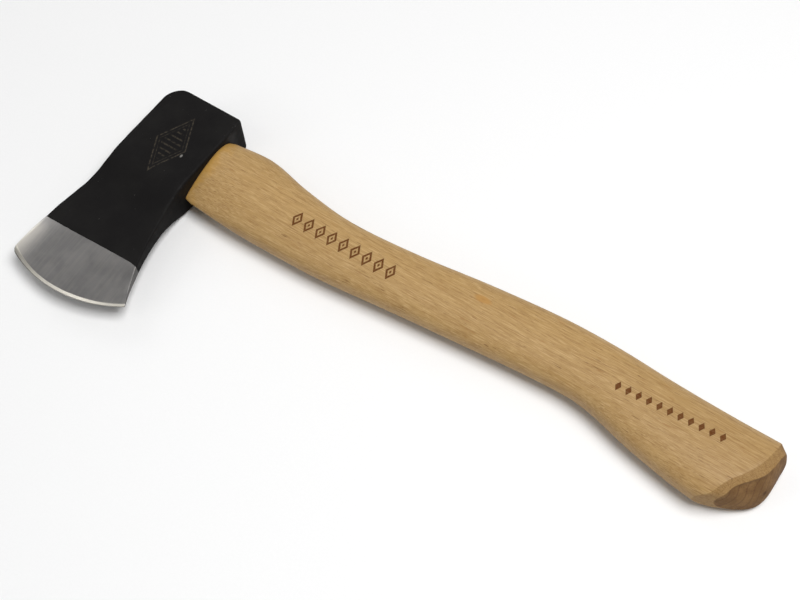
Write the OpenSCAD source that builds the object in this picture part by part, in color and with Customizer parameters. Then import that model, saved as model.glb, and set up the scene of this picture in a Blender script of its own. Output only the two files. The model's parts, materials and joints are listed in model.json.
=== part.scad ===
// Hickory-handled hatchet lying on its side.
// +X runs along the handle from the head to the butt, -Y faces the cutting edge, +Z is up.
// The part stands on z = 0, and the origin is the centre of its footprint.

/* [Head] */
// Height of the head along the handle, at the poll
head_height = 48.5; // [44:0.5:54]
// Thickness across the cheeks, which is also the butt's thickness
head_thickness = 24.5; // [22:0.5:28]
// From the middle of the eye to the poll's striking face
poll_reach = 31.5; // [29:0.5:36]
// From the middle of the eye to the foremost point of the cutting edge
edge_reach = 107; // [100:1:114]
// Radius of the cutting edge, seen from the side
edge_radius = 79; // [76:1:90]
// How far the toe flares past the top of the poll
toe_flare = 10; // [6:0.5:12]
// Radius of the sweep from the underside out to the heel
heel_sweep_radius = 150; // [130:5:200]
// Half of the cutting edge's included angle, in degrees
edge_half_angle = 13; // [11:1:16]

/* [Eye] */
// Length of the eye at the underside, along the blade
eye_length = 42; // [38:1:44]
// Width of the eye at the underside, across the cheeks
eye_width = 17; // [15:0.5:18]
// How much larger the eye is at the top than at the underside
eye_flare = 1.06; // [1.02:0.01:1.08]

/* [Handle] */
// From the underside of the head to the end of the butt
handle_length = 346; // [335:1:380]
// Thickness of the grip between the neck and the swell
grip_thickness = 20.5; // [18:0.5:24]
// How far the tongue stands proud of the head's top
tongue_proud = 1; // [0.5:0.5:2]

/* [Wedges] */
// Thickness of the wooden wedge at its driven end
wedge_thickness = 5; // [4:0.5:6]
// Depth that the wooden wedge is driven to
wedge_depth = 32; // [26:1:36]
// Width of each steel cross wedge
cross_wedge_width = 11; // [9:0.5:12]
// Depth that each steel cross wedge is driven to
cross_wedge_depth = 17; // [12:1:20]

/* [Hidden] */

steel_black = [0.12, 0.12, 0.12];
steel_bare = [0.62, 0.62, 0.64];
hickory = [0.74, 0.6, 0.4];
wedge_wood = [0.62, 0.44, 0.26];

// Rounded corners of the head
poll_top_radius = 12;
poll_bottom_radius = 2.5;
poll_edge_radius = 2.5;
toe_radius = 4.5;
arc_steps = 6;

// The cheeks run flat over the eye, then thin smoothly into the blade
cheek_flat_end = -18;
blade_start = -50;
blade_half_thickness = 5;
blade_half_at_edge = 0.8;
edge_flat_half = 0.2;
flare_start = -20;
heel_sweep_start = -25;

// Centre of the cutting edge's arc, and of the toe's rounding inside it
edge_centre_x = -26;
edge_centre_y = edge_radius - edge_reach;
toe_tip_x = -head_height - toe_flare;
toe_centre_x = toe_tip_x + toe_radius;
toe_centre_y = edge_centre_y
    - sqrt(pow(edge_radius - toe_radius, 2) - pow(toe_centre_x - edge_centre_x, 2));

// Eye shape, and the cuts that the wedges fill
eye_centre_y = -1;
eye_point = 0.5;
tongue_end_x = -head_height - tongue_proud;
wedge_tip_thickness = 1.4;
kerf_extra_depth = 5;
cross_wedge_thickness = 2.2;
cross_wedge_tip = 0.4;
front_cross_y = -8;
rear_cross_y = 9;

// The handle's section is a superellipse with this exponent, and it keeps
// the eye's pointed front over its first stretch below the head
section_power = 2.4;
neck_run = 45;
ring_sides = 28;
ring_spacing = 9;

// Round end of the butt: its front and back curves, and the thinning of its rim
butt_thickness = head_thickness;
butt_front_run = 30;
butt_front_y = -2;
butt_back_run = 8;
butt_back_y = 15;
butt_rim = 3.5;
butt_steps = [26, 20, 14, 9, 6, 4, 2.4, 1.2, 0.4, 0];

// Shape of the handle: distance from the head, back edge, front edge, thickness
shape = [
    [0, 20.4, -22.4, 18.4],
    [4, 21.4, -23.3, 20.2],
    [28, 23, -24.6, 21.5],
    [55, 17.7, -24.4, 21.5],
    [88, 13.9, -23.4, grip_thickness + 0.5],
    [130, 16.2, -19.3, grip_thickness],
    [175, 21.9, -15, grip_thickness],
    [215, 25.4, -11.5, grip_thickness + 0.5],
    [245, 25.5, -11, grip_thickness + 2],
    [280, 23.8, -19, butt_thickness - 1],
    [handle_length - butt_front_run, 22.8, -24.8, butt_thickness],
    [handle_length, 22.8, -24.8, butt_thickness]
];

// Middle of the whole part's footprint
middle_x = (toe_tip_x + handle_length) / 2;
middle_y = (poll_reach - edge_reach) / 2;

// A smooth step from 0 to 1 as t goes from 0 to 1
function smooth(t) = let(u = min(1, max(0, t))) u * u * (3 - 2 * u);

// Points on an arc about (cx, cy), from angle a to angle b
function arc(cx, cy, r, a, b, steps) = [
    for (i = [0:steps])
        let(t = a + (b - a) * i / steps) [cx + r * cos(t), cy + r * sin(t)]
];

// Slope of column c of the handle's shape at row i
function slope(i, c) =
    let(p = max(0, i - 1), n = min(len(shape) - 1, i + 1))
    (shape[n][c] - shape[p][c]) / (shape[n][0] - shape[p][0]);

// Row of the handle's shape that the stretch holding x starts from
function row_at(x, i = 0) = (i >= len(shape) - 2 || x < shape[i + 1][0]) ? i : row_at(x, i + 1);

// Column c of the handle's shape at x, as a smooth cubic between its rows
function shape_at(x, c) =
    let(i = row_at(x), span = shape[i + 1][0] - shape[i][0], t = (x - shape[i][0]) / span)
    shape[i][c] * (1 + 2 * t) * (1 - t) * (1 - t)
    + slope(i, c) * span * t * (1 - t) * (1 - t)
    + shape[i + 1][c] * t * t * (3 - 2 * t)
    - slope(i + 1, c) * span * t * t * (1 - t);

// Height of a quarter ellipse that falls from 1 to 0 over the last `run` before the butt
function round_off(x, run) =
    let(t = min(1, max(0, (x - handle_length + run) / run))) sqrt(1 - t * t);

// Back edge, front edge and thickness of the handle, with the butt rounded off
function back_at(x) =
    butt_back_y + (shape_at(x, 1) - butt_back_y) * round_off(x, butt_back_run);
function front_at(x) =
    butt_front_y + (shape_at(x, 2) - butt_front_y) * round_off(x, butt_front_run);
function thickness_at(x) =
    min(butt_thickness, shape_at(x, 3)) - 2 * max(0, x - handle_length + butt_rim);

// One signed superellipse coordinate
function super(v, power) = sign(v) * pow(abs(v), 2 / power);

// A ring of points at x, round at the back and drawn to a point at the front.
// The greatest width of the drawn shape, about 1 + 0.4 point^2, is divided out.
function ring(x, middle, length, width, point, power) = [
    for (i = [0:ring_sides - 1])
        let(a = 360 * i / ring_sides, taper = (1 + point * cos(a)) / (1 + 0.4 * point * point))
        [x, middle + length / 2 * super(cos(a), power), width / 2 * super(sin(a), power) * taper]
];

// A ring of points round the eye, which widens from the underside to the top
function eye_ring(x) =
    let(size = 1 - (eye_flare - 1) * x / head_height)
    ring(x, eye_centre_y, size * eye_length, size * eye_width, eye_point, 2);

// A ring of points round the handle, from the eye's shape at the head to a full oval
function handle_ring(x) =
    let(blend = smooth(x / neck_run), back = back_at(x), front = front_at(x))
    ring(x, (back + front) / 2, back - front, thickness_at(x),
        eye_point * (1 - blend), 2 + (section_power - 2) * blend);

// Half thickness of the head at y, before the cutting edge is ground
function cheek_half(y) =
    y > blade_start
    ? head_thickness / 2
        - (head_thickness / 2 - blade_half_thickness)
        * smooth((cheek_flat_end - y) / (cheek_flat_end - blade_start))
    : blade_half_at_edge
        + (blade_half_thickness - blade_half_at_edge) * (y + edge_reach) / (blade_start + edge_reach);

// A closed skin through a list of rings, all with ring_sides points
module skin(rings) {
    last = len(rings) - 1;
    points = [for (ring = rings) each ring];
    sides = [
        for (r = [0:last - 1], i = [0:ring_sides - 1])
            let(a = r * ring_sides + i, b = r * ring_sides + (i + 1) % ring_sides)
            [a, a + ring_sides, b + ring_sides, b]
    ];
    first_cap = [for (i = [0:ring_sides - 1]) i];
    last_cap = [for (i = [ring_sides - 1:-1:0]) last * ring_sides + i];
    polyhedron(points, concat([first_cap, last_cap], sides));
}

// Side view of the head, with the blade running on past the cutting edge
module head_outline() {
    top_steps = 12;
    sweep_steps = 10;
    past_edge = -edge_reach - 10;
    poll_top = arc(-head_height + poll_top_radius, poll_reach - poll_top_radius,
        poll_top_radius, 90, 180, arc_steps);
    poll_bottom = arc(-poll_bottom_radius, poll_reach - poll_bottom_radius,
        poll_bottom_radius, 0, 90, arc_steps);
    top = [
        for (i = [0:top_steps])
            let(y = flare_start + (toe_centre_y - flare_start) * i / top_steps)
            [-head_height - toe_flare * smooth(i / top_steps), y]
    ];
    toe = arc(toe_centre_x, toe_centre_y, toe_radius, 190,
        atan2(toe_centre_y - edge_centre_y, toe_centre_x - edge_centre_x) + 360, arc_steps);
    heel = [
        for (i = [sweep_steps:-1:0])
            let(y = heel_sweep_start + (past_edge - heel_sweep_start) * i / sweep_steps)
            [heel_sweep_radius - sqrt(pow(heel_sweep_radius, 2) - pow(y - heel_sweep_start, 2)), y]
    ];
    polygon(concat(poll_bottom, poll_top, top, toe, [[edge_centre_x, past_edge]], heel));
}

// End view of the head: its thickness from the poll to the blade
module head_thickness_outline() {
    thinning = 14;
    corner = arc(poll_reach - poll_edge_radius, head_thickness / 2 - poll_edge_radius,
        poll_edge_radius, 0, 90, arc_steps);
    cheek = concat(
        [for (i = [0:thinning])
            let(y = cheek_flat_end + (blade_start - cheek_flat_end) * i / thinning)
            [y, cheek_half(y)]],
        [[-edge_reach - 1, cheek_half(-edge_reach)]]);
    upper = concat(corner, cheek);
    lower = [for (i = [len(upper) - 1:-1:0]) [upper[i][0], -upper[i][1]]];
    polygon(concat(upper, lower));
}

// The grinding of the cutting edge: a double cone about the arc's centre, clear of the cheeks
module edge_grind() {
    cone_run = 60;
    cone_half = edge_flat_half + cone_run * tan(edge_half_angle);
    uncut_from = blade_start - 8;
    translate([edge_centre_x, edge_centre_y, 0])
        rotate_extrude($fn = 240)
            polygon([
                [0, -cone_half],
                [edge_radius - cone_run, -cone_half],
                [edge_radius, -edge_flat_half],
                [edge_radius, edge_flat_half],
                [edge_radius - cone_run, cone_half],
                [0, cone_half]
            ]);
    translate([-2 * head_height, uncut_from, -head_thickness])
        cube([3 * head_height, poll_reach - uncut_from + 1, 2 * head_thickness]);
}

// The steel cross wedge at y, as it is driven into the tongue's end
module cross_wedge_shape(y) {
    half = cross_wedge_thickness / 2;
    tip_half = cross_wedge_tip / 2;
    linear_extrude(height = cross_wedge_width, center = true)
        polygon([
            [tongue_end_x, y - half],
            [tongue_end_x, y + half],
            [tongue_end_x + cross_wedge_depth, y + tip_half],
            [tongue_end_x + cross_wedge_depth, y - tip_half]
        ]);
}

// The taper that the wooden wedge and the opened kerf share, run past both ends of the eye
module wedge_taper() {
    rotate([90, 0, 0])
        linear_extrude(height = 2 * eye_length, center = true)
            polygon([
                [tongue_end_x, -wedge_thickness / 2],
                [tongue_end_x + wedge_depth, -wedge_tip_thickness / 2],
                [tongue_end_x + wedge_depth, wedge_tip_thickness / 2],
                [tongue_end_x, wedge_thickness / 2]
            ]);
}

// Forged head: poll, eye, cheeks and blade in one piece
module axe_head() {
    color(steel_black)
        place()
            difference() {
                intersection() {
                    linear_extrude(height = head_thickness, center = true)
                        head_outline();
                    rotate([90, 0, 90])
                        linear_extrude(height = 4 * head_height, center = true)
                            head_thickness_outline();
                    edge_grind();
                }
                skin([eye_ring(tongue_end_x - 2), eye_ring(2)]);
            }
}

// Handle in one piece of hickory: tongue in the eye, shoulder, grip and butt
module handle() {
    run = handle_length - butt_front_run;
    spans = ceil(run / ring_spacing);
    grip_rings = [for (i = [0:spans]) handle_ring(run * i / spans)];
    butt_rings = [for (step = butt_steps) handle_ring(handle_length - step)];
    tongue_rings = [eye_ring(tongue_end_x), eye_ring(0)];
    kerf_x = tongue_end_x + wedge_depth;
    color(hickory)
        place()
            difference() {
                skin(concat(tongue_rings, grip_rings, butt_rings));
                wedge_taper();
                translate([kerf_x - 1, -eye_length, -wedge_tip_thickness / 2])
                    cube([kerf_extra_depth + 1, 2 * eye_length, wedge_tip_thickness]);
                cross_wedge_shape(front_cross_y);
                cross_wedge_shape(rear_cross_y);
            }
}

// Wooden wedge that spreads the tongue along the eye's length
module wooden_wedge() {
    color(wedge_wood)
        place()
            difference() {
                intersection() {
                    skin([eye_ring(tongue_end_x), eye_ring(0)]);
                    wedge_taper();
                }
                cross_wedge_shape(front_cross_y);
                cross_wedge_shape(rear_cross_y);
            }
}

// Steel wedge across the wooden one, nearer the blade
module front_cross_wedge() {
    color(steel_bare) place() cross_wedge_shape(front_cross_y);
}

// Steel wedge across the wooden one, nearer the poll
module rear_cross_wedge() {
    color(steel_bare) place() cross_wedge_shape(rear_cross_y);
}

// Moves the eye's own frame to the frame of the whole part
module place() {
    translate([-middle_x, -middle_y, head_thickness / 2]) children();
}

axe_head();
handle();
wooden_wedge();
front_cross_wedge();
rear_cross_wedge();
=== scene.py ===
import functools
import json
import math

import bmesh
import bpy
from mathutils import Matrix, Vector, noise

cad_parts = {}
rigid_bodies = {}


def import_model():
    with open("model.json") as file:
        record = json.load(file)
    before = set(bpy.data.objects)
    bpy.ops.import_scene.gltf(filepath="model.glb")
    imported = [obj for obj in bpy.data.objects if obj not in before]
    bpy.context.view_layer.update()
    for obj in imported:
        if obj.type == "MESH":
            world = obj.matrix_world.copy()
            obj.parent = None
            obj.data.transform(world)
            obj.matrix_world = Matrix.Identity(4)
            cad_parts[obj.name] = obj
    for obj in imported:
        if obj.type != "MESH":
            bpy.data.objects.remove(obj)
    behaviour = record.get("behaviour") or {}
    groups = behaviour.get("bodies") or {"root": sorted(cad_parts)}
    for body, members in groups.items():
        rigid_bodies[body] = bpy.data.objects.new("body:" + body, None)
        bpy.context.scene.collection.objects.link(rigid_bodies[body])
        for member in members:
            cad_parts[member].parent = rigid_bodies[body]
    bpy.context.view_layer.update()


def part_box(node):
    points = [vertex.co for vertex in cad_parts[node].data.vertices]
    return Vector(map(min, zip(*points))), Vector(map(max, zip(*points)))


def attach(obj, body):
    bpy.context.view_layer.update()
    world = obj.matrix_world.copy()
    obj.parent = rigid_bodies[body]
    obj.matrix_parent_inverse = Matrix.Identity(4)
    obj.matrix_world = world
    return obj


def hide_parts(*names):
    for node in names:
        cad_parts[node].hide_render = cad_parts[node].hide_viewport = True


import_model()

# ---------------- sizes
# Shapes are worked out in millimetres about the middle of the eye, where the head's underside is
# x = 0, the poll faces +y, the cutting edge faces -y and the blade's own plane is z = 0.
MM = 0.001

HEAD_HEIGHT = 48.5
TONGUE_PROUD = 1.0
POLL_REACH = 31.5
EDGE_REACH = 107.0
EDGE_RADIUS = 79.0
EDGE_CENTRE = (-26.0, EDGE_RADIUS - EDGE_REACH)
TOE_FLARE = 10.0
TOE_RADIUS = 4.5
TOE_CENTRE_X = -HEAD_HEIGHT - TOE_FLARE + TOE_RADIUS
TOE_CENTRE = (TOE_CENTRE_X, EDGE_CENTRE[1] - math.sqrt(
    (EDGE_RADIUS - TOE_RADIUS) ** 2 - (TOE_CENTRE_X - EDGE_CENTRE[0]) ** 2))
POLL_TOP_RADIUS = 12.0
POLL_BOTTOM_RADIUS = 2.5
POLL_RIM = 1.9
LONG_EDGE_RADIUS = 1.4
HEEL_SWEEP_RADIUS = 150.0
HEEL_SWEEP_START = -25.0
FLARE_START = -20.0
CHEEK_FLAT_END = -18.0
BLADE_START = -50.0
BLADE_HALF = 5.0
BLADE_HALF_AT_EDGE = 0.8
EDGE_SLOPE = math.tan(math.radians(26.0))
EDGE_LAND = 0.05
GRIND_LINE = -72.0
BIT_RUN = 30.0
HEEL_BLEND, GRIND_BLEND = 30.0, 16.0
TOE_ROLL, TOE_ROLL_WIDTH = 0.7, 14.0

EYE_LENGTH, EYE_WIDTH, EYE_POINT, EYE_MIDDLE = 42.0, 17.0, 0.5, -1.0
EYE_FLARE = 0.06
EYE_COLLAR_BACK, EYE_COLLAR_FRONT = POLL_REACH - 5.5, -27.5

WEDGE_DEPTH, WEDGE_HALF, WEDGE_TIP_HALF = 32.0, 2.5, 0.7
KERF_EXTRA = 5.0
CUT_CLEARANCE = 0.04
CROSS_AT = {"front_cross_wedge": -8.0, "rear_cross_wedge": 9.0}
CROSS_WIDTH, CROSS_DEPTH, CROSS_HALF, CROSS_TIP_HALF = 11.0, 17.0, 1.1, 0.2

HEAD_LOW, HEAD_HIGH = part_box("axe_head")
HANDLE_LOW, HANDLE_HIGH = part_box("handle")
HEAD_HALF = (HEAD_HIGH.z - HEAD_LOW.z) / MM / 2
TONGUE_END = -HEAD_HEIGHT - TONGUE_PROUD
EYE = Vector((
    HANDLE_LOW.x - TONGUE_END * MM,
    HEAD_HIGH.y - POLL_REACH * MM,
    (HEAD_LOW.z + HEAD_HIGH.z) / 2,
))
BUTT_END = (HANDLE_HIGH.x - EYE.x) / MM
BUTT_HALF = HEAD_HALF

# Handle: distance from the head, y of the back edge, y of the front edge, thickness
HANDLE_ROWS = [
    (0, 20.4, -22.4, 18.4),
    (4, 21.4, -23.3, 20.2),
    (28, 23, -24.6, 21.5),
    (55, 17.7, -24.4, 21.5),
    (88, 13.9, -23.4, 21),
    (130, 16.2, -19.3, 20.5),
    (175, 21.9, -15, 20.5),
    (215, 25.4, -11.5, 21),
    (245, 25.5, -11, 22.5),
    (280, 23.8, -19, 23.5),
    (BUTT_END - 30, 22.8, -24.8, 2 * BUTT_HALF),
    (BUTT_END, 22.8, -24.8, 2 * BUTT_HALF),
]
NECK_RUN = 45.0
SECTION_POWER = 2.4
SHARP_ANGLE = math.radians(40)
SLIVER = 0.003


def smooth(t):
    """A smooth step from 0 to 1 as t goes from 0 to 1."""
    t = min(1.0, max(0.0, t))
    return t * t * (3 - 2 * t)


def lerp(a, b, t):
    """The value or tuple a share t of the way from a to b."""
    if isinstance(a, tuple):
        return tuple(p + (q - p) * t for p, q in zip(a, b))
    return a + (b - a) * t


def narrow(low, high, steps, before):
    """Halves low..high again and again, down to where before(value) stops being true."""
    for _ in range(steps):
        middle = (low + high) / 2
        low, high = (middle, high) if before(middle) else (low, middle)
    return low, high


# ---------------- mesh helpers
def add_object(name, data):
    """A new object in the scene."""
    made = bpy.data.objects.new(name, data)
    bpy.context.scene.collection.objects.link(made)
    return made


def new_piece(name, points, faces, materials, face_slots=None):
    """A smooth-shaded mesh object, facing outwards, from points in millimetres about the eye."""
    mesh = bpy.data.meshes.new(name)
    mesh.from_pydata([tuple(Vector(p) * MM + EYE) for p in points], [], faces)
    for material in materials:
        mesh.materials.append(material)
    if face_slots is not None:
        mesh.polygons.foreach_set("material_index", face_slots)
    mesh.polygons.foreach_set("use_smooth", [True] * len(mesh.polygons))
    mesh.set_sharp_from_angle(angle=SHARP_ANGLE)
    mesh.update()
    work = bmesh.new()
    work.from_mesh(mesh)
    bmesh.ops.recalc_face_normals(work, faces=work.faces)
    work.to_mesh(mesh)
    work.free()
    mesh.update()
    return add_object(name, mesh)


def set_point_values(piece, name, values):
    """Stores one number for each vertex, for the materials to read."""
    layer = piece.data.attributes.new(name, "FLOAT", "POINT")
    layer.data.foreach_set("value", values)


def push_out(piece, amount):
    """Moves each vertex along its normal by amount(point in mm about the eye), in mm."""
    mesh = piece.data
    normals = [Vector(v.normal) for v in mesh.vertices]
    for vertex, normal in zip(mesh.vertices, normals):
        local = (vertex.co - EYE) / MM
        vertex.co = vertex.co + normal * amount(local) * MM
    mesh.update()


def cut(piece, cutters):
    """Takes the cutters' solids out of a piece and clears away the slivers that this leaves."""
    for cutter in cutters:
        modifier = piece.modifiers.new("cut", "BOOLEAN")
        modifier.operation = "DIFFERENCE"
        modifier.solver = "EXACT"
        modifier.object = cutter
    graph = bpy.context.evaluated_depsgraph_get()
    mesh = bpy.data.meshes.new_from_object(piece.evaluated_get(graph))
    piece.modifiers.clear()
    piece.data = mesh
    work = bmesh.new()
    work.from_mesh(mesh)
    bmesh.ops.triangulate(work, faces=[f for f in work.faces if len(f.verts) > 4])
    bmesh.ops.dissolve_degenerate(work, dist=SLIVER * MM, edges=work.edges)
    work.to_mesh(mesh)
    work.free()
    mesh.set_sharp_from_angle(angle=SHARP_ANGLE)


def prism(name, outline, low, high, across):
    """A scratch solid: an outline of (x, s) run from low to high along the other axis.

    across is "y" where s is z and the prism runs along y, or "z" the other way round."""
    def place(x, s, run):
        return (x, run, s) if across == "y" else (x, s, run)
    n = len(outline)
    points = [place(x, s, low) for x, s in outline] + [place(x, s, high) for x, s in outline]
    faces = tube_faces(2, n) + [tuple(reversed(range(n))), tuple(range(n, 2 * n))]
    return new_piece(name, points, faces, [])


def tube_faces(rings, sides):
    """The quads that join each ring of points to the next."""
    return [(r * sides + c, r * sides + (c + 1) % sides,
             (r + 1) * sides + (c + 1) % sides, (r + 1) * sides + c)
            for r in range(rings - 1) for c in range(sides)]


# ---------------- head
def head_top(y):
    """x of the head's top side at y, with its rounded corner at the poll."""
    line = -HEAD_HEIGHT - TOE_FLARE * smooth((FLARE_START - y) / (FLARE_START - TOE_CENTRE[1]))
    into = max(0.0, y - (POLL_REACH - POLL_TOP_RADIUS))
    return line + POLL_TOP_RADIUS - math.sqrt(max(0.0, POLL_TOP_RADIUS ** 2 - into * into))


def head_underside(y):
    """x of the head's underside at y, swept out to the heel."""
    past = max(0.0, HEEL_SWEEP_START - y)
    sweep = HEEL_SWEEP_RADIUS - math.sqrt(HEEL_SWEEP_RADIUS ** 2 - past * past)
    into = max(0.0, y - (POLL_REACH - POLL_BOTTOM_RADIUS))
    return sweep - POLL_BOTTOM_RADIUS + math.sqrt(max(0.0, POLL_BOTTOM_RADIUS ** 2 - into * into))


def cheek_half(y):
    """Half thickness of the head at y, before the cutting edge is ground."""
    if y <= BLADE_START:
        along = (y + EDGE_REACH) / (BLADE_START + EDGE_REACH)
        return BLADE_HALF_AT_EDGE + (BLADE_HALF - BLADE_HALF_AT_EDGE) * along
    into = max(0.0, y - (POLL_REACH - POLL_RIM))
    body = HEAD_HALF - POLL_RIM + math.sqrt(max(0.0, POLL_RIM ** 2 - into * into))
    thin = smooth((CHEEK_FLAT_END - y) / (CHEEK_FLAT_END - BLADE_START))
    return body - (HEAD_HALF - BLADE_HALF) * thin


def edge_depth(x, y):
    """How far (x, y) lies inside the arc of the cutting edge."""
    return EDGE_RADIUS - math.hypot(x - EDGE_CENTRE[0], y - EDGE_CENTRE[1])


def ground_half(x, y):
    """Half thickness that the grinding of the cutting edge leaves at (x, y)."""
    return EDGE_LAND + edge_depth(x, y) * EDGE_SLOPE


def flat_half(x, y):
    """Half thickness of the cheeks at (x, y). Towards the heel it follows the edge's arc."""
    plain = cheek_half(y)
    if y > GRIND_LINE:
        return plain
    slope = (BLADE_HALF - BLADE_HALF_AT_EDGE) / (BLADE_START + EDGE_REACH)
    follows = smooth((x - EDGE_CENTRE[0]) / HEEL_BLEND) * smooth((GRIND_LINE - y) / GRIND_BLEND)
    arc = min(plain, 0.85 * BLADE_HALF_AT_EDGE + slope * edge_depth(x, y))
    return lerp(plain, arc, follows)


def blade_half(x, y):
    """Half thickness of the head, rolled off a little towards the toe and ground at the edge."""
    if y > GRIND_LINE + 6:
        return cheek_half(y)
    from_toe = min(1.0, max(0.0, (x - head_top(y)) / TOE_ROLL_WIDTH))
    roll = TOE_ROLL * (1 - from_toe) ** 2
    fade = smooth((GRIND_LINE + 6 - y) / 10.0)
    return min(flat_half(x, y) - roll * fade, ground_half(x, y))


def heel_corner():
    """Where the underside's sweep meets the cutting edge's arc."""
    _, y = narrow(EDGE_CENTRE[1] - EDGE_RADIUS, GRIND_LINE, 50,
                  lambda y: edge_depth(head_underside(y), y) < 0)
    return head_underside(y), y


HEEL = heel_corner()
TOE_ANGLE = math.atan2(TOE_CENTRE[1] - EDGE_CENTRE[1], TOE_CENTRE[0] - EDGE_CENTRE[0]) + 2 * math.pi
HEEL_ANGLE = math.atan2(HEEL[1] - EDGE_CENTRE[1], HEEL[0] - EDGE_CENTRE[0]) + 2 * math.pi


def edge_point(u):
    """A point of the cutting edge, from the start of the toe's rounding (0) to the heel (1)."""
    toe_length = TOE_RADIUS * (TOE_ANGLE - math.pi)
    s = u * (toe_length + EDGE_RADIUS * (HEEL_ANGLE - TOE_ANGLE))
    if s < toe_length:
        a, r, centre = math.pi + s / TOE_RADIUS, TOE_RADIUS, TOE_CENTRE
    else:
        a, r, centre = TOE_ANGLE + (s - toe_length) / EDGE_RADIUS, EDGE_RADIUS, EDGE_CENTRE
    return centre[0] + r * math.cos(a), centre[1] + r * math.sin(a)


GRIND_LEFT, GRIND_RIGHT = head_top(GRIND_LINE), head_underside(GRIND_LINE)
EDGE_LEFT, EDGE_RIGHT = edge_point(0.0), edge_point(1.0)


def bit_point(u, v):
    """A point of the ground bit: u from toe side to heel side, v from grind line to edge."""
    ex, ey = edge_point(u)
    y_left, y_right = lerp(GRIND_LINE, EDGE_LEFT[1], v), lerp(GRIND_LINE, EDGE_RIGHT[1], v)
    bow_left = head_top(y_left) - lerp(GRIND_LEFT, EDGE_LEFT[0], v)
    bow_right = head_underside(y_right) - lerp(GRIND_RIGHT, EDGE_RIGHT[0], v)
    x = lerp(lerp(GRIND_LEFT, GRIND_RIGHT, u), ex, v) + bow_left * (1 - u) ** 2 + bow_right * u * u
    return x, lerp(GRIND_LINE, ey, v)


def paint_dip(u):
    """How far the lacquer's edge runs past the grind line, as a share of the way to the edge."""
    toe_turn = 2.6 * (1 - u) ** 1.6
    heel_turn = 0.9 * smooth((u - 0.93) / 0.07)
    waver = 0.14 * noise.noise(Vector((u * 22, 5, 1)))
    return (0.5 + toe_turn + heel_turn + waver) / BIT_RUN


@functools.lru_cache(maxsize=None)
def bevel_start(u):
    """v at which the cutting edge's own bevel starts."""
    def on_flat(v):
        x, y = bit_point(u, v)
        return flat_half(x, y) < ground_half(x, y)
    return narrow(0.3, 1.0, 18, on_flat)[0]


CHEEK_COLUMNS = 40
CORNER_STEPS = 5
STRIP_COLUMNS = 14
CHEEK_POINTS = CHEEK_COLUMNS + 1
CORNER_POINTS = CORNER_STEPS - 1
STRIP_POINTS = STRIP_COLUMNS + 1
HEAD_RING = 2 * (CHEEK_POINTS + STRIP_POINTS) + 4 * CORNER_POINTS
UNDER_FIRST = CHEEK_POINTS + CORNER_POINTS
LOWER_FIRST = UNDER_FIRST + STRIP_POINTS + CORNER_POINTS
TOP_FIRST = LOWER_FIRST + CHEEK_POINTS + CORNER_POINTS
STRIP_FIRSTS = (UNDER_FIRST, TOP_FIRST)
SIDE_COLUMNS = {first + i for first in STRIP_FIRSTS for i in range(STRIP_POINTS)}
CORNER_COLUMNS = {first + i for i in range(-1, CORNER_POINTS + 1)
                  for first in (CHEEK_POINTS, UNDER_FIRST + STRIP_POINTS,
                                LOWER_FIRST + CHEEK_POINTS, TOP_FIRST + STRIP_POINTS)}
LACQUER_SLOT, STEEL_SLOT = 0, 1


def head_ring(line, radius):
    """Points round the head at one station.

    line(u) gives (x, y) from the top side (0) to the underside (1), and radius rounds the four
    long edges."""
    share = radius / math.dist(line(0.0), line(1.0))
    ring = []

    def cheek(sign):
        for i in range(CHEEK_POINTS):
            t = i / CHEEK_COLUMNS if sign > 0 else 1 - i / CHEEK_COLUMNS
            x, y = line(share + (1 - 2 * share) * t)
            ring.append((x, y, sign * blade_half(x, y)))

    def corner(underside, sign, inwards):
        for i in range(1, CORNER_STEPS):
            a = math.radians(90.0 * i / CORNER_STEPS)
            a = math.pi / 2 - a if inwards else a
            inset = share * (1 - math.sin(a))
            x, y = line(1 - inset if underside else inset)
            ring.append((x, y, sign * (blade_half(x, y) - radius * (1 - math.cos(a)))))

    def strip(underside, sign):
        x, y = line(1.0 if underside else 0.0)
        reach = blade_half(x, y) - radius
        for i in range(STRIP_POINTS):
            ring.append((x, y, sign * reach * (1 - 2 * i / STRIP_COLUMNS)))

    for underside, sign in ((True, 1), (False, -1)):
        cheek(sign)
        corner(underside, sign, False)
        strip(underside, sign)
        corner(underside, -sign, True)
    return ring


def head_stations():
    """The y of each straight station, from the poll face to the grind line."""
    rim = [POLL_REACH - POLL_RIM * (1 - math.cos(math.radians(a))) for a in range(0, 91, 15)]
    corner = [POLL_REACH - POLL_TOP_RADIUS * (1 - math.sin(math.radians(a)))
              for a in (48, 42, 36, 30, 24, 18, 12, 6)]
    body = [POLL_REACH - POLL_TOP_RADIUS - 0.5 - 2 * i for i in range(46)]
    return rim + corner + [y for y in body if y > GRIND_LINE + 1] + [GRIND_LINE]


def pointed(angle, point):
    """The share of its width that an oval keeps at an angle, when its front is drawn to a point."""
    return (1 + point * math.cos(angle)) / (1 + 0.4 * point ** 2)


def eye_outline(angle, size):
    """(y, z) of the eye's outline at an angle: round at the back and pointed at the front."""
    return (EYE_MIDDLE + size * EYE_LENGTH / 2 * math.cos(angle),
            size * EYE_WIDTH / 2 * math.sin(angle) * pointed(angle, EYE_POINT))


def eye_size(x):
    """How much larger the eye is at x than at the underside."""
    return 1 - EYE_FLARE * x / HEAD_HEIGHT


def straight_line(y):
    """The line across the head at y, for head_ring."""
    left, right = head_top(y), head_underside(y)
    return lambda u: (lerp(left, right, u), y)


def bit_line(main, bevel):
    """A line across the bit, for head_ring.

    main runs from the lacquer's edge (0) to the bevel (1), and bevel on to the cutting edge (1)."""
    def line(u):
        start, dip = bevel_start(u), paint_dip(u)
        return bit_point(u, start * (dip + (1 - dip) * main) + (1 - start) * bevel)
    return line


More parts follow.
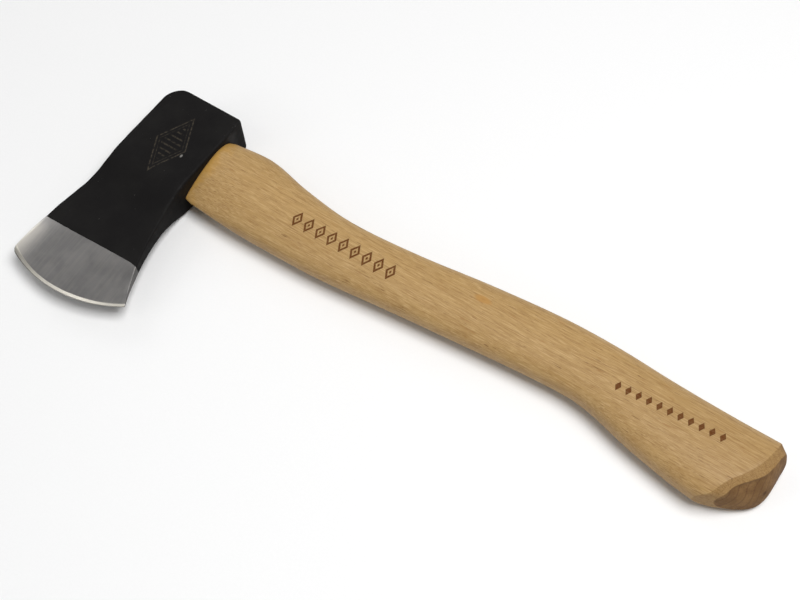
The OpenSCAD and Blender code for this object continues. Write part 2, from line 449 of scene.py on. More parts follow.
def head_rings():
    """The head's rings from the poll to the cutting edge, each with how far it is ground; the last
    ring's value gets an added step that marks it for painted shade along the edge.
    """
    made = []
    for y in head_stations():
        radius = min(LONG_EDGE_RADIUS, 0.45 * cheek_half(y)) * (1 - 0.3 * smooth((-35 - y) / 30))
        radius *= 1 + 0.18 * noise.noise(Vector((y * 0.15, 3.0, 7.0)))
        made.append((head_ring(straight_line(y), radius), 0.0))
    main_shares = [i / 13 for i in range(13)] + [0.985, 1.0]
    places = [(m, 0.0) for m in main_shares] + [(1.0, b) for b in (0.05, 0.2, 0.45, 0.72, 1.0)]
    for step, (main, bevel) in enumerate(places):
        line = bit_line(main, bevel)
        radius = min(0.35 + 0.6 * max(0.0, 1 - step / 3.0), 0.4 * blade_half(*line(0.5)))
        # The edge's last ring gets a step past 1 in grind, which the steel colours as a thin line of
        # painted shade
        painted_edge_shade = 0.3 if bevel == 1.0 else 0.0
        made.append((head_ring(line, radius), 0.5 * main + 0.5 * min(1.0, bevel * 6) + painted_edge_shade))
    return made


class HeadSkin:
    """The head's mesh as it grows: points with their grind and wear, and faces with slots."""

    def __init__(self):
        self.points, self.grind, self.wear = [], [], []
        self.faces, self.slots = [], []

    def add_points(self, points, wear, grind=0.0):
        """Adds points, with one wear value for each, and returns their numbers."""
        first = len(self.points)
        self.points += points
        self.wear += wear
        self.grind += [grind] * len(points)
        return list(range(first, len(self.points)))

    def add_face(self, corners, slot=LACQUER_SLOT, turned=False):
        self.faces.append(tuple(reversed(corners)) if turned else tuple(corners))
        self.slots.append(slot)

    def bridge(self, outer, inner, turned=False):
        """Joins two loops of points with quads."""
        for m, _ in enumerate(outer):
            n = (m + 1) % len(outer)
            self.add_face((outer[m], outer[n], inner[n], inner[m]), turned=turned)

    def close_poll(self):
        """The poll's face: rings drawn in towards its middle, with a slight crown."""
        cap = self.points[:HEAD_RING]
        middle = tuple(sum(p[k] for p in cap) / len(cap) for k in range(3))
        previous = list(range(HEAD_RING))
        for share, crown in ((0.93, 0.03), (0.75, 0.08), (0.5, 0.13), (0.25, 0.16)):
            ring = [(x, y + crown, z) for x, y, z in (lerp(middle, p, share) for p in cap)]
            current = self.add_points(ring, [0.25] * HEAD_RING)
            self.bridge(previous, current, turned=True)
            previous = current
        self.add_face(previous)

    def close_edge(self, last):
        """The cutting edge's land on the last ring, and the ends at the heel and the toe."""
        for c in range(CHEEK_COLUMNS):
            under = last + LOWER_FIRST + CHEEK_COLUMNS - c
            self.add_face((last + c, under, under - 1, last + c + 1), STEEL_SLOT)
        heel_end = [last + i for i in range(CHEEK_COLUMNS, LOWER_FIRST + 1)]
        toe_end = [last + i for i in range(LOWER_FIRST + CHEEK_COLUMNS, HEAD_RING)] + [last]
        for end in (heel_end, toe_end):
            self.add_face(end, STEEL_SLOT, turned=True)

    def collar(self, loop, surface, outward):
        """Rings from the loop round an opening to the eye's broken rim and the wall behind it."""
        spots = [self.points[i] for i in loop]
        _, ys, zs = zip(*spots)
        y_mid, y_half, z_half = (max(ys) + min(ys)) / 2, (max(ys) - min(ys)) / 2, max(zs)
        angles = [math.atan2(z / z_half, (y - y_mid) / y_half) for _, y, z in spots]
        made = [loop]
        for share, sink, growth in ((0.4, 0, 0.025), (0.75, 0, 0.025), (1, 0, 0.025),
                                    (1, 0.25, 0.007), (1, 0.7, 0)):
            ring = []
            for (_, py, pz), angle in zip(spots, angles):
                ey, _ = eye_outline(angle, 1.0)
                ey, ez = eye_outline(angle, eye_size(surface(ey)) + growth)
                y = lerp(py, ey, share)
                ring.append((surface(y) - outward * sink, y, lerp(pz, ez, share)))
            worn = 0.9 if share == 1 and sink < 0.5 else 0.0
            made.append(self.add_points(ring, [worn] * len(ring)))
        return made


def opening_border(back, front, first, flip):
    """The points round the opening left for the eye, between two rings of one side's strip."""
    def at(r, k):
        return r * HEAD_RING + first + (STRIP_COLUMNS - k if flip else k)
    rows = range(back + 1, front)
    loop = [at(back, k) for k in range(STRIP_POINTS)] + [at(r, STRIP_COLUMNS) for r in rows]
    loop += [at(front, k) for k in range(STRIP_COLUMNS, -1, -1)]
    return loop + [at(r, 0) for r in reversed(rows)]


def forged(local):
    """Shallow hammer and die unevenness, which the grinding has taken off the bit."""
    if abs(local.y - POLL_REACH) < 0.4 or local.y < GRIND_LINE + 1:
        return 0.0
    fade = smooth((local.y - GRIND_LINE - 1) / 6)
    broad = noise.noise(local * 0.06 + Vector((11, 4, 9)))
    fine = noise.noise(local * 0.25 + Vector((3, 8, 1)))
    return fade * (0.10 * broad + 0.05 * fine)


def build_head(lacquer, steel):
    """The forged head, with the eye cut through it from the underside to the top."""
    ys = head_stations()
    rings = head_rings()
    skin = HeadSkin()
    for r, (ring, grind) in enumerate(rings):
        rim = 0.8 if 1 < r < 7 else 0.0
        wear = [max(rim, 0.85 if c in CORNER_COLUMNS else 0.0) for c in range(HEAD_RING)]
        skin.add_points(ring, wear, grind)

    back = min(i for i, y in enumerate(ys) if y < EYE_COLLAR_BACK)
    front = max(i for i, y in enumerate(ys) if y > EYE_COLLAR_FRONT)
    for r in range(len(rings) - 1):
        for c in range(HEAD_RING):
            on_eye = any(first <= c < first + STRIP_COLUMNS for first in STRIP_FIRSTS)
            if back <= r < front and on_eye:
                continue
            a, b = r * HEAD_RING + c, r * HEAD_RING + (c + 1) % HEAD_RING
            slot = STEEL_SLOT if r >= len(ys) else LACQUER_SLOT
            skin.add_face((a, a + HEAD_RING, b + HEAD_RING, b), slot)
    skin.close_poll()
    skin.close_edge((len(rings) - 1) * HEAD_RING)

    under = skin.collar(opening_border(back, front, UNDER_FIRST, False), head_underside, 1)
    top = skin.collar(opening_border(back, front, TOP_FIRST, True), head_top, -1)
    for collar, turned in ((under, False), (top, True)):
        for outer, inner in zip(collar, collar[1:]):
            skin.bridge(outer, inner, turned)
    skin.bridge(under[-1], top[-1])

    piece = new_piece("axe_head_forging", skin.points, skin.faces, [lacquer, steel], skin.slots)
    # toe: how near a bit point lies to the toe side; the steel's colour is lightened there as a painted
    # reflection
    toe = [0.0 if y > GRIND_LINE else 1 - smooth((x - head_top(max(y, TOE_CENTRE[1]))) / 13)
           for x, y, _ in skin.points]
    side = [1.0 if c in SIDE_COLUMNS else 0.5 if c in CORNER_COLUMNS else 0.0
            for c in range(HEAD_RING)] * len(rings)
    side += [0.0] * (len(skin.points) - len(side))
    for name, values in (("toe", toe), ("side", side), ("grind", skin.grind), ("wear", skin.wear)):
        set_point_values(piece, name, values)
    push_out(piece, forged)
    return piece


# ---------------- handle
SIDES = 80


def spline(rows, x, column):
    """A column of a table at x, as a smooth cubic between its rows."""
    last = len(rows) - 1
    i = max(k for k in range(last) if k == 0 or x >= rows[k][0])
    span = rows[i + 1][0] - rows[i][0]
    t = (x - rows[i][0]) / span

    def slope(k):
        before, after = max(0, k - 1), min(last, k + 1)
        return (rows[after][column] - rows[before][column]) / (rows[after][0] - rows[before][0])

    return (rows[i][column] * (1 + 2 * t) * (1 - t) ** 2 + slope(i) * span * t * (1 - t) ** 2
            + rows[i + 1][column] * t * t * (3 - 2 * t) - slope(i + 1) * span * t * t * (1 - t))


def signed_power(value, power):
    """The value to a power, keeping its sign."""
    return math.copysign(abs(value) ** power, value)


def handle_point(x, angle):
    """A point of the handle's side surface, before the butt's end is cut."""
    back, front = spline(HANDLE_ROWS, x, 1), spline(HANDLE_ROWS, x, 2)
    thick = min(2 * BUTT_HALF, spline(HANDLE_ROWS, x, 3))
    blend = smooth(x / NECK_RUN)
    power = 2 / (2 + (SECTION_POWER - 2) * blend)
    taper = pointed(angle, EYE_POINT * (1 - blend))
    y = (back + front) / 2 + (back - front) / 2 * signed_power(math.cos(angle), power)
    return x, y, thick / 2 * signed_power(math.sin(angle), power) * taper


BUTT_RUN = 60.0
BUTT_FACE_Z = 8.25
BUTT_MIDDLE = (6.0, 0.0)
BUTT_CHAMFER = 3.6
CHAMFER_GRAIN = 0.4
TONGUE_FIT = 0.994

# End of the butt: y, then how far short of the butt's full length the slanted end face lies at
# its lower line and at its upper line, and the rim on the upper side
BUTT_ROWS = [
    (-27, 34, 34, 34),
    (-25, 28, 28.5, 29),
    (-22, 21, 22, 23.6),
    (-18, 14, 17.4, 21.2),
    (-12, 6, 14.2, 18.2),
    (-8, 2.8, 11.0, 15.3),
    (-4, 1.2, 7.9, 12.8),
    (0, 0.4, 5.3, 10.7),
    (6, 0.2, 3.8, 8.5),
    (12, 0.3, 3.4, 7.4),
    (17.5, 0.3, 3.4, 6.6),
    (20, 1.6, 4.6, 6.6),
    (23, 4.6, 7.2, 7.2),
    (26, 8, 10, 10),
]


def butt_face(y, z):
    """x of the butt's slanted and slightly crowned end face at (y, z)."""
    lower, upper = spline(BUTT_ROWS, y, 1), spline(BUTT_ROWS, y, 2)
    t = min(1.0, max(0.0, (z + BUTT_FACE_Z) / (2 * BUTT_FACE_Z)))
    return BUTT_END - lerp(lower, upper, t * t)


def butt_rim(y, z):
    """x of the outer line of the chamfer round the butt, at the side surface's point (y, z)."""
    lower, outer = spline(BUTT_ROWS, y, 1) + 3, spline(BUTT_ROWS, y, 3)
    return BUTT_END - lerp(lower, outer, smooth((z + 9) / 16))


def side_end(angle):
    """x at which the side surface meets the chamfer's outer line, found by repeated steps."""
    x = BUTT_END
    for _ in range(6):
        x = butt_rim(*handle_point(x, angle)[1:])
    return x


def butt_rings(outline):
    """The rings of the butt's end, from the chamfer's outer line to the middle of the face."""
    crease = []
    for _, y, z in outline:
        inset = BUTT_CHAMFER / math.hypot(y - BUTT_MIDDLE[0], z - BUTT_MIDDLE[1])
        y, z = lerp((y, z), BUTT_MIDDLE, inset)
        crease.append((butt_face(y, z), y, z))
    chamfer = [[lerp(o, c, share) for o, c in zip(outline, crease)]
               for share in (0.05, 0.25, 0.5, 0.75, 0.95)]
    face = []
    for share in (0.985, 0.955, 0.91, 0.84, 0.75, 0.64, 0.52, 0.4, 0.28, 0.16, 0.07):
        ring = [lerp(BUTT_MIDDLE, c[1:], share) for c in crease]
        face.append([(butt_face(y, z), y, z) for y, z in ring])
    return chamfer, face


def shaved(local):
    """The slight unevenness of a sanded handle."""
    if local.x < 1.5:
        return 0.0
    stretched = Vector((local.x * 0.02, local.y * 0.05, local.z * 0.05))
    fade = smooth(local.x / 20) * smooth((BUTT_END - 12 - local.x) / 20)
    return 0.16 * fade * (noise.noise(stretched + Vector((5, 2, 8))) - 0.25)


def build_handle(material):
    """The handle: tongue, shoulder, grip and butt as one piece, with the wedges' cuts made."""
    angles = [2 * math.pi * (i + 0.5) / SIDES for i in range(SIDES)]
    rings, grains = [], []

    def add(new_rings, grain=0.0):
        rings.extend(new_rings)
        grains.extend([grain] * len(new_rings))

    def eye_ring(x, size):
        return [(x, *eye_outline(a, size * eye_size(x))) for a in angles]

    tongue_end = eye_ring(TONGUE_END, TONGUE_FIT)
    tongue_middle = (TONGUE_END, EYE_MIDDLE, 0.0)
    add([[lerp(tongue_middle, p, share) for p in tongue_end] for share in (0.2, 0.45, 0.7, 0.9)]
        + [eye_ring(TONGUE_END, TONGUE_FIT - 0.02)], 1.0)
    add([eye_ring(x, TONGUE_FIT)
         for x in (TONGUE_END + 0.4, -46, -40, -34, -28, -22, -16, -10, -6, -3, -1)])

    grip_end = BUTT_END - BUTT_RUN
    steps = int((grip_end - 4) / 2)
    grip = [0.15, 0.5, 1, 1.6, 2.3, 3.1, 4]
    grip += [4 + (grip_end - 4) * i / steps for i in range(1, steps + 1)]
    add([[handle_point(x, a) for a in angles] for x in grip])
    ends = [side_end(a) for a in angles]
    add([[handle_point(lerp(grip_end, e - 0.3, i / 26), a) for a, e in zip(angles, ends)]
         for i in range(1, 27)])
    chamfer, face = butt_rings([handle_point(e, a) for a, e in zip(angles, ends)])
    add(chamfer, CHAMFER_GRAIN)
    add(face, 1.0)

    points = [p for ring in rings for p in ring]
    faces = tube_faces(len(rings), SIDES)
    faces += [tuple(reversed(range(SIDES))), tuple(range(len(points) - SIDES, len(points)))]
    piece = new_piece("hickory_handle", points, faces, [material])
    end_grain = [grain for grain in grains for _ in range(SIDES)]
    for i, (_, y, _) in enumerate(points):
        if end_grain[i] == CHAMFER_GRAIN:
            end_grain[i] += 0.4 * smooth((y - 14) / 6)
    set_point_values(piece, "end_grain", end_grain)
    push_out(piece, shaved)
    cut(piece, wedge_cutters())
    return piece


def wedge_half(x):
    """Half thickness of the wooden wedge at x."""
    return lerp(WEDGE_HALF, WEDGE_TIP_HALF, (x - TONGUE_END) / WEDGE_DEPTH)


def both_sides(outline, middle=0.0):
    """An outline of (x, half thickness) run along both sides of a middle, a hair wider."""
    wider = [(x, s + CUT_CLEARANCE) for x, s in outline]
    return [(x, middle + s) for x, s in wider] + [(x, middle - s) for x, s in reversed(wider)]


def wedge_cutters(kerf=True):
    """The solids that the wedges' cuts take out, run past the tongue's end."""
    past = 4.0
    made = []
    if kerf:
        tip = TONGUE_END + WEDGE_DEPTH
        outline = [(TONGUE_END - past, wedge_half(TONGUE_END - past)), (tip, WEDGE_TIP_HALF),
                   (tip + KERF_EXTRA, WEDGE_TIP_HALF)]
        made.append(prism("kerf_cutter", both_sides(outline), -EYE_LENGTH, EYE_LENGTH, "y"))
    for name, y in CROSS_AT.items():
        slope = (CROSS_HALF - CROSS_TIP_HALF) / CROSS_DEPTH
        tip = TONGUE_END + CROSS_DEPTH
        outline = [(TONGUE_END - past, CROSS_HALF + past * slope), (tip, CROSS_TIP_HALF)]
        half = CROSS_WIDTH / 2 + CUT_CLEARANCE
        made.append(prism(name + "_cutter", both_sides(outline, y), -half, half, "z"))
    return made


def build_wooden_wedge(material):
    """The wooden wedge: a thin taper across the tongue, cut to the eye and hammered at its end."""
    columns = 30
    end = TONGUE_END - 0.35
    tip = TONGUE_END + WEDGE_DEPTH
    xs = [end, end + 0.25] + [lerp(end + 0.25, tip - 0.3, i / 12) for i in range(1, 13)] + [tip]
    rings = []
    for k, x in enumerate(xs):
        half = wedge_half(max(x, TONGUE_END)) - 0.02
        half -= 0.22 if k == 0 else 0.0
        half -= 0.25 if k == len(xs) - 1 else 0.0
        upper = []
        for c in range(columns + 1):
            t = math.pi * c / columns
            lean = 0.985 - (0.012 if k == 0 else 0.0)
            y = EYE_MIDDLE + lean * eye_size(x) * EYE_LENGTH / 2 * math.cos(t)
            room = abs(eye_outline(t, 0.99 * eye_size(x))[1])
            upper.append((y, min(half, max(0.15, room))))
        ring = [(x, y, z) for y, z in upper] + [(x, y, -z) for y, z in reversed(upper)]
        if k == 0:
            ring = [(px + 0.12 * noise.noise(Vector((py * 0.5, pz * 0.9, 4))), py, pz)
                    for px, py, pz in ring]
        rings.append(ring)
    n = len(rings[0])
    points = [p for ring in rings for p in ring]
    faces = tube_faces(len(rings), n)
    for first in (0, (len(rings) - 1) * n):
        faces += [(first + c, first + c + 1, first + n - 2 - c, first + n - 1 - c)
                  for c in range(columns)]
    piece = new_piece("wooden_wedge_ash", points, faces, [material])
    set_point_values(piece, "end_grain", [1.0] * n + [0.0] * (len(points) - n))
    cut(piece, wedge_cutters(kerf=False))
    return piece


def build_cross_wedge(name, y_at, material, seed):
    """A steel cross wedge with a burred, hammered head."""
    wide, deep, thick = 16, 12, 4
    end = TONGUE_END - 0.3
    tip = TONGUE_END + CROSS_DEPTH
    rings = []
    for r in range(deep + 1):
        x = lerp(end, tip, (r / deep) ** 1.3)
        half = lerp(CROSS_HALF, CROSS_TIP_HALF, (x - TONGUE_END) / CROSS_DEPTH)
        inset = 0.2 if r == 0 else 0.0
        half, half_width = min(half, CROSS_HALF) - inset, CROSS_WIDTH / 2 - 0.02 - inset
        ring = []
        for side, steps in enumerate((wide, thick, wide, thick)):
            for i in range(steps):
                t = 2 * i / steps - 1
                y, z = ((-half, t * half_width), (t * half, half_width),
                        (half, -t * half_width), (-t * half, -half_width))[side]
                corner = 0.12 * max(0, abs(z) / half_width - 0.9) * 10
                y *= 1 - min(0.5, corner)
                ring.append((x, y_at + y, z))
        rings.append(ring)
    n = len(rings[0])
    points = [p for ring in rings for p in ring]
    faces = tube_faces(len(rings), n)
    first = len(points)
    points += [(end - 0.15 + 0.05 * noise.noise(Vector((z, seed, 2))), y_at + 0.3 * (y - y_at), 0.9 * z)
               for _, y, z in rings[0]]
    faces += [(first + c, first + (c + 1) % n, (c + 1) % n, c) for c in range(n)]
    faces += [tuple(range(first, first + n)), tuple(range(deep * n, (deep + 1) * n))]
    piece = new_piece(name, points, faces, [material])

    def hammered(local):
        rough = noise.noise(local * 1.1 + Vector((seed, 0, 3)))
        return 0.05 * rough if local.x < TONGUE_END + 1 else -0.01

    push_out(piece, hammered)
    return piece


# ---------------- materials
# The places of the marks, in millimetres about the eye
KNOT_AT = (176, 8.2, 10)
SPOT_AT = (343.1, -2.5, -2)
NICK_AT = (-13.1, -6.7, 12.2)
PITH_AT, RING_WIDTH = (0, -118, 96), 3.1
NECK_ROW_AT, BUTT_ROW_AT, BUTT_ROW_SLOPE = (96, -4.4), (287, 3.9), 0.055
UPPER_SIDE = 4
STAMP_AT, STAMP_HALF, STAMP_RULE = (-23.2, -3.3), (10.5, 21.5), 3.4
UPPER_CHEEK = 9


class Nodes:
    """The nodes of a material or world, built with short calls. Sockets and plain values mix."""

    def __init__(self, owner):
        owner.use_nodes = True
        self.owner, self.tree = owner, owner.node_tree

    def fill(self, node, inputs):
        for key, value in inputs.items():
            socket = node.inputs[key]
            if hasattr(value, "is_output"):
                self.tree.links.new(value, socket)
            elif isinstance(value, tuple) and len(socket.default_value) == 4:
                socket.default_value = (*value, 1)
            else:
                socket.default_value = value
        return node

    def node(self, kind, inputs=None, **settings):
        made = self.tree.nodes.new(kind)
        for key, value in settings.items():
            setattr(made, key, value)
        return self.fill(made, inputs or {})

    def math(self, operation, a, b=0):
        return self.node("ShaderNodeMath", {0: a, 1: b}, operation=operation).outputs[0]

    plus = functools.partialmethod(math, "ADD")
    minus = functools.partialmethod(math, "SUBTRACT")
    times = functools.partialmethod(math, "MULTIPLY")
    over = functools.partialmethod(math, "DIVIDE")
    most = functools.partialmethod(math, "MAXIMUM")
    size = functools.partialmethod(math, "ABSOLUTE")

    def vector(self, operation, a, b):
        return self.node("ShaderNodeVectorMath", {0: a, 1: b}, operation=operation).outputs[0]

    def distance(self, vector, spot, stretch=(1, 1, 1)):
        """How far vector lies from a spot, when each axis is stretched by its own factor."""
        away = self.vector("MULTIPLY", self.vector("SUBTRACT", vector, spot), stretch)
        return self.node("ShaderNodeVectorMath", {0: away}, operation="LENGTH").outputs["Value"]

    def mix(self, share, a, b):
        return self.node("ShaderNodeMix", {0: share, 6: a, 7: b}, data_type="RGBA").outputs[2]

    def layers(self, colour, *rows):
        """Lays colours over the first one, in turn. Each row is a share and a colour."""
        for share, above in rows:
            colour = self.mix(share, colour, above)
        return colour

    def noise(self, vector, scale, detail=2, roughness=0.5, distortion=0, output="Fac"):
        """Noise of a scale, which is one number or one for each axis."""
        if isinstance(scale, tuple):
            vector, scale = self.vector("MULTIPLY", vector, scale), 1
        return self.node("ShaderNodeTexNoise", {
            "Vector": vector, "Scale": scale, "Detail": detail, "Roughness": roughness,
            "Distortion": distortion}).outputs[output]

    def ramp(self, value, low, high, start=0, end=1):
        """value mapped smoothly from the range low..high to start..end."""
        return self.node("ShaderNodeMapRange", {
            "Value": value, "From Min": low, "From Max": high, "To Min": start, "To Max": end},
            interpolation_type="SMOOTHSTEP").outputs[0]

    def place(self):
        """Position in millimetres about the eye."""
        spot = self.node("ShaderNodeTexCoord").outputs["Object"]
        return self.vector("MULTIPLY", self.vector("SUBTRACT", spot, tuple(EYE)), (1000,) * 3)

    def split(self, vector):
        return self.node("ShaderNodeSeparateXYZ", {0: vector}).outputs

    def attribute(self, name):
        return self.node("ShaderNodeAttribute", attribute_name=name).outputs["Fac"]

    def bump(self, height, strength, distance, below=None):
        inputs = {"Height": height, "Strength": strength, "Distance": distance}
        if below is not None:
            inputs["Normal"] = below
        return self.node("ShaderNodeBump", inputs).outputs[0]

    def finish(self, **inputs):
        """Fills in the material's shader and returns the material."""
        self.fill(self.tree.nodes["Principled BSDF"],
                  {key.replace("_", " "): value for key, value in inputs.items()})
        return self.owner


def surface(name):
    """The nodes of a new material."""
    return Nodes(bpy.data.materials.new(name))


def lozenge_row(s, along, across, pitch, count, half_wide, half_high, hollow):
    """A row of lozenges about (along, across) = (0, 0): 1 on the burned lines, 0 elsewhere."""
    step = s.over(along, pitch)
    cell = s.minus(s.math("FRACT", s.plus(step, 0.5)), 0.5)
    reach = s.plus(s.over(s.size(cell), half_wide / pitch), s.over(s.size(across), half_high))
    if hollow:
        line = s.ramp(s.size(s.minus(reach, 0.78)), 0.16, 0.26, 1, 0)
        line = s.most(line, s.ramp(reach, 0.16, 0.28, 1, 0))
    else:
        line = s.ramp(reach, 0.85, 1, 1, 0)
    return s.times(line, s.math("LESS_THAN", s.size(step), count / 2))


def burned_rows(s, p, x, y, z):
    """Two burned rows on the upper side: hollow lozenges at the neck and solid ones at the butt."""
    neck = lozenge_row(s, s.minus(x, NECK_ROW_AT[0]), s.minus(y, NECK_ROW_AT[1]),
                       pitch=7.6, count=9, half_wide=2.9, half_high=5.2, hollow=True)
    along = s.minus(x, BUTT_ROW_AT[0])
    across = s.minus(s.minus(y, BUTT_ROW_AT[1]), s.times(along, BUTT_ROW_SLOPE))
    butt = lozenge_row(s, along, across,
                       pitch=5.6, count=11, half_wide=1.7, half_high=3, hollow=False)
    rows = s.times(s.most(neck, butt), s.math("GREATER_THAN", z, UPPER_SIDE))
    return s.times(rows, s.ramp(s.noise(p, (0.5, 1.6, 1.6), 3), 0.3, 0.7, 0.85, 1))


def growth(s, p):
    """Position bent with the grain, and how far through its year's growth the wood is there."""
    drift = s.noise(p, (0.01, 0.035, 0.035), output="Color")
    drift = s.vector("SUBTRACT", drift, (0.5, 0.5, 0.5))
    bent = s.vector("ADD", p, s.vector("MULTIPLY", drift, (0, 3.5, 3.5)))
    uneven = s.noise(p, (0.004, 0.05, 0.05), 1)
    years = s.plus(s.over(s.distance(bent, PITH_AT, (0.035, 1, 1)), RING_WIDTH),
                   s.times(uneven, 1.4))
    return bent, s.math("FRACT", years)


def planed_wood(s, p, bent, year, early, fibre, pore):
    """The colour along the grain, from the broad patches to the pores and flecks."""
    patch = s.noise(p, (0.006, 0.03, 0.03))
    streak = s.noise(bent, (0.012, 0.55, 0.55), 3, 0.6)
    late = s.ramp(year, 0.55, 1)
    hair = s.noise(p, (0.11, 2.4, 2.4), 3, 0.6)
    fine_pore = s.ramp(s.noise(p, (0.3, 3, 3), 1), 0.6, 0.7)
    fleck = s.ramp(s.noise(bent, (0.1, 0.65, 0.65)), 0.66, 0.74)
    return s.layers(
        (0.445, 0.282, 0.122),
        (s.ramp(patch, 0.35, 0.65), (0.4, 0.25, 0.104)),
        (s.ramp(streak, 0.4, 0.62, 0, 0.45), (0.475, 0.312, 0.146)),
        (s.ramp(fibre, 0.49, 0.62, 0, 0.6), (0.3, 0.17, 0.066)),
        (s.times(late, 0.28), (0.33, 0.19, 0.074)),
        (s.times(early, 0.14), (0.3, 0.176, 0.075)),
        (s.ramp(hair, 0.5, 0.62, 0, 0.55), (0.56, 0.39, 0.205)),
        (s.times(fine_pore, 0.3), (0.23, 0.125, 0.05)),
        (s.times(pore, 0.75), (0.195, 0.098, 0.036)),
        (s.times(fleck, 0.45), (0.33, 0.16, 0.048)))


def stained_wood(s, p, x, tan):
    """Over the planed wood: an amber knot, lacquer pooled at the shoulder, and a dark seam."""
    knot = s.distance(p, KNOT_AT, (0.42, 1, 0.4))
    pooled = s.plus(x, s.times(s.noise(p, (0.16, 0.16, 0.16), 3), 14))
    return s.layers(
        tan,
        (s.ramp(knot, 1.3, 2.7, 0.85, 0), (0.44, 0.235, 0.072)),
        (s.ramp(knot, 0.2, 0.9, 0.25, 0), (0.3, 0.14, 0.04)),
        (s.ramp(pooled, 7, 15, 0.85, 0), (0.48, 0.27, 0.066)),
        (s.ramp(x, 0.1, 0.9, 0.5, 0), (0.11, 0.055, 0.02)))


def sawn_wood(s, p, year, open_pore):
    """The end grain: darker, with the growth rings seen end on, open pores and a dark spot."""
    blotch = s.noise(p, (0.12, 0.16, 0.16), 3)
    ring_line = s.ramp(s.size(s.minus(year, 0.5)), 0.36, 0.5)
    return s.layers(
        (0.25, 0.14, 0.058),
        (s.ramp(blotch, 0.35, 0.65), (0.18, 0.094, 0.036)),
        (s.times(ring_line, 0.55), (0.11, 0.052, 0.025)),
        (s.times(open_pore, 0.45), (0.095, 0.045, 0.022)),
        (s.ramp(s.distance(p, SPOT_AT), 0.5, 2.4, 0.8, 0), (0.05, 0.022, 0.012)))


def hickory():
    """Pale hickory under thin satin lacquer, with bare end grain and two burned rows."""
    s = surface("hickory_lacquered")
    p = s.place()
    x, y, z = s.split(p)
    end = s.attribute("end_grain")
    bent, year = growth(s, p)
    early = s.ramp(year, 0, 0.34, 1, 0)
    fibre = s.noise(bent, (0.06, 1.5, 1.5), 4, 0.6)
    pore = s.times(s.ramp(s.noise(bent, (0.16, 2, 2), 1), 0.62, 0.69),
                   s.ramp(early, 0.05, 0.7, 0.35, 1))
    open_pore = s.ramp(s.noise(p, (0.4, 1.5, 1.5), 3), 0.55, 0.68)

    tan = stained_wood(s, p, x, planed_wood(s, p, bent, year, early, fibre, pore))
    tan = s.mix(s.ramp(end, 0, 0.35), tan, s.vector("MULTIPLY", tan, (0.8, 0.76, 0.7)))
    colour = s.mix(s.ramp(end, 0.45, 0.95), tan, sawn_wood(s, p, year, open_pore))
    colour = s.vector("MULTIPLY", colour, (0.98, 0.97, 0.87))
    browner = s.vector("MULTIPLY", colour, (0.86, 0.83, 0.8))
    colour = s.mix(s.ramp(x, 200, 345, 0, 0.6), colour, browner)
    burned = burned_rows(s, p, x, y, z)
    colour = s.mix(burned, colour, (0.108, 0.03, 0.001))

    rough = s.ramp(fibre, 0.3, 0.7, 0.46, 0.58)
    rough = s.plus(rough, s.times(s.most(end, burned), 0.3))
    height = s.minus(s.times(fibre, 0.35), s.times(pore, 0.5))
    height = s.minus(height, s.times(s.times(open_pore, end), 0.8))
    normal = s.bump(height, 0.35, 0.0002)
    normal = s.bump(s.times(burned, -1), 0.8, 0.0003, normal)
    return s.finish(Base_Color=colour, Roughness=rough, Normal=normal, Specular_IOR_Level=0.3)


def wedge_ash():
    """The wooden wedge: plain straight-grained wood, darkened on its hammered end."""
    s = surface("wedge_wood_bare")
    p = s.place()
    fibre = s.noise(p, (0.06, 1.2, 2.4), 5, 0.7)
    rings = s.noise(p, (0.02, 0.25, 2.2))
    grime = s.ramp(s.noise(p, 0.7, 3), 0.45, 0.65, 0, 0.5)
    colour = s.layers(
        (0.43, 0.29, 0.145),
        (s.ramp(fibre, 0.35, 0.7), (0.33, 0.205, 0.092)),
        (s.ramp(rings, 0.45, 0.6, 0, 0.4), (0.21, 0.115, 0.048)),
        (s.times(grime, s.attribute("end_grain")), (0.06, 0.035, 0.02)))
    normal = s.bump(fibre, 0.5, 0.0002)
    return s.finish(Base_Color=colour, Roughness=s.ramp(fibre, 0.3, 0.7, 0.55, 0.75), Normal=normal)


def cheek_stamp(s, p, x, y, z):
    """A plain stamped lozenge on the upper cheek: two outlines and ruled lines, partly filled."""
    reach = s.plus(s.over(s.size(s.minus(x, STAMP_AT[0])), STAMP_HALF[0]),
                   s.over(s.size(s.minus(y, STAMP_AT[1])), STAMP_HALF[1]))
    outer = s.ramp(s.size(s.minus(reach, 0.95)), 0.02, 0.06, 1, 0)
    inner = s.ramp(s.size(s.minus(reach, 0.76)), 0.01, 0.04, 0.7, 0)
    rule = s.size(s.minus(s.math("FRACT", s.over(y, STAMP_RULE)), 0.5))
    rules = s.times(s.ramp(rule, 0.1, 0.2, 0.8, 0), s.math("LESS_THAN", reach, 0.62))
    stamp = s.most(s.most(outer, inner), rules)
    stamp = s.times(stamp, s.math("GREATER_THAN", z, UPPER_CHEEK))
    return s.times(stamp, s.ramp(s.noise(p, 0.5, 4, 0.7), 0.35, 0.65))


def bare_spots(s, p):
    """Bare steel where the lacquer has rubbed through, in chips and in one bright nick."""
    rub = s.noise(p, 0.55, 6, 0.75)
    rubbed = s.times(s.ramp(s.attribute("wear"), 0.5, 1), s.ramp(rub, 0.63, 0.71))
    chips = s.times(s.ramp(s.noise(p, 1.1), 0.78, 0.8), 0.8)
    nick = s.ramp(s.distance(p, NICK_AT, (1, 0.6, 1)), 0.35, 0.8, 1, 0)
    return s.most(s.most(rubbed, chips), nick)


